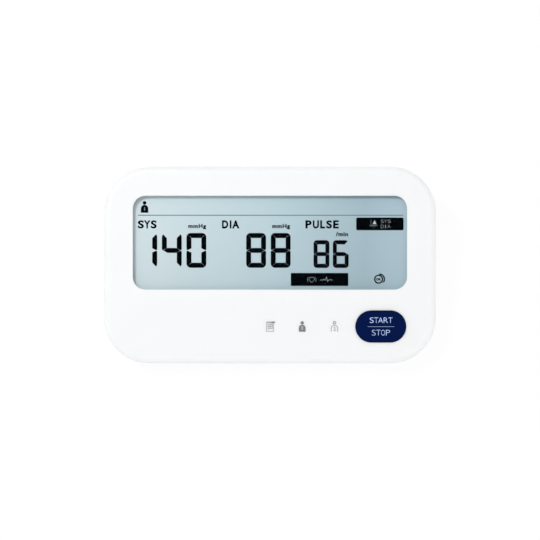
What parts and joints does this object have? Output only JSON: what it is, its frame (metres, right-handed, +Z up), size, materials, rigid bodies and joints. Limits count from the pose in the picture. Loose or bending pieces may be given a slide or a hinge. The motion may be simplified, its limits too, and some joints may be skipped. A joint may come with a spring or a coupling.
{
  "type": "blood pressure monitor",
  "caption": "Table-top blood pressure monitor with a tilted face, wide display, start/stop key, hinged battery cover, air jack and DC jack, with its pump, valve and board inside.",
  "frame": {"origin": "centre of the bounding box's bottom, on the surface that the feet stand on", "axes": "+Z up, +X to the user's right along the display, -Y towards the user; the face tilts towards the user"},
  "size_m": [0.18, 0.1046, 0.0586],
  "materials": {
    "white_plastic": "fine satin, moulded",
    "navy_plastic": "smooth, printed in white",
    "clear_acrylic": "clear and polished",
    "black_plastic": "moulded",
    "grey_plastic": "moulded",
    "display_glass": "polished",
    "display_film": "film",
    "adhesive": "double-sided tape",
    "foam_rubber": "closed-cell foam",
    "black_rubber": "moulded",
    "grey_rubber": "moulded",
    "tube_rubber": "silicone",
    "green_laminate": "solder mask",
    "plated_steel": "plated",
    "copper_winding": "enamelled wire",
    "jack_brass": "nickel-plated",
    "cell_jacket": "plain can with a plastic jacket",
    "capacitor_can": "can",
    "wire_jacket": "PVC"
  },
  "bodies": {
    "housing": {"air_jack": "grey_plastic", "air_manifold": "grey_plastic", "base_cover": "white_plastic", "battery_cell_1": "cell_jacket", "battery_cell_2": "cell_jacket", "battery_cell_3": "cell_jacket", "battery_cell_4": "cell_jacket", "battery_leads": "wire_jacket", "board_headers": "grey_plastic", "board_screws": "plated_steel", "buzzer": "black_plastic", "capacitors": "capacitor_can", "case_screws": "plated_steel", "contact_plates": "plated_steel", "contact_springs": "plated_steel", "dc_jack": "black_plastic", "dc_jack_pin": "jack_brass", "dc_leads": "wire_jacket", "display_window": "clear_acrylic", "front_cover": "white_plastic", "jack_tube": "tube_rubber", "lcd_glass": "display_glass", "lcd_holder": "black_plastic", "lcd_polariser": "display_film", "lcd_reflector": "display_film", "main_board": "green_laminate", "memory_chip": "black_plastic", "microcontroller": "black_plastic", "motor_end_bell": "black_plastic", "motor_magnets": "plated_steel", "pressure_sensor": "black_plastic", "pump_cap": "black_plastic", "pump_diaphragm": "black_rubber", "pump_head": "black_plastic", "pump_leads": "wire_jacket", "pump_motor": "plated_steel", "pump_sleeve": "foam_rubber", "pump_tube": "tube_rubber", "rubber_feet": "grey_rubber", "sensor_tube": "tube_rubber", "tact_switch": "black_plastic", "touch_pads": "foam_rubber", "valve_coil": "copper_winding", "valve_frame": "plated_steel", "valve_leads": "wire_jacket", "valve_nozzle": "grey_plastic", "valve_tube": "tube_rubber", "window_seal": "foam_rubber", "window_tape": "adhesive", "zebra_strips": "black_rubber"},
    "key": {"start_stop_key": "navy_plastic", "switch_plunger": "grey_plastic"},
    "battery_lid": {"battery_cover": "white_plastic"},
    "rotor": {"pump_rotor": "plated_steel", "pump_cam": "black_plastic"},
    "plunger": {"valve_plunger": "plated_steel"}
  },
  "joints": [
    {"name": "key_press", "type": "slide", "parent": "housing", "child": "key", "axis": [0, 0.342, -0.9397], "range_m": [0, 0.0005], "stiffness_N_per_m": 1500, "springref_m": -0.0003},
    {"name": "battery_cover_swing", "type": "hinge", "parent": "housing", "child": "battery_lid", "pos_m": [0, -0.01452, 0.003], "axis": [-1, 0, 0], "range_deg": [0, 60]},
    {"name": "pump_spin", "type": "hinge", "parent": "housing", "child": "rotor", "pos_m": [0, 0.02403, 0.0173], "axis": [1, 0, 0], "continuous": true},
    {"name": "valve_stroke", "type": "slide", "parent": "housing", "child": "plunger", "axis": [1, 0, 0], "range_m": [0, 0.0008], "stiffness_N_per_m": 300, "springref_m": -0.001}
  ]
}
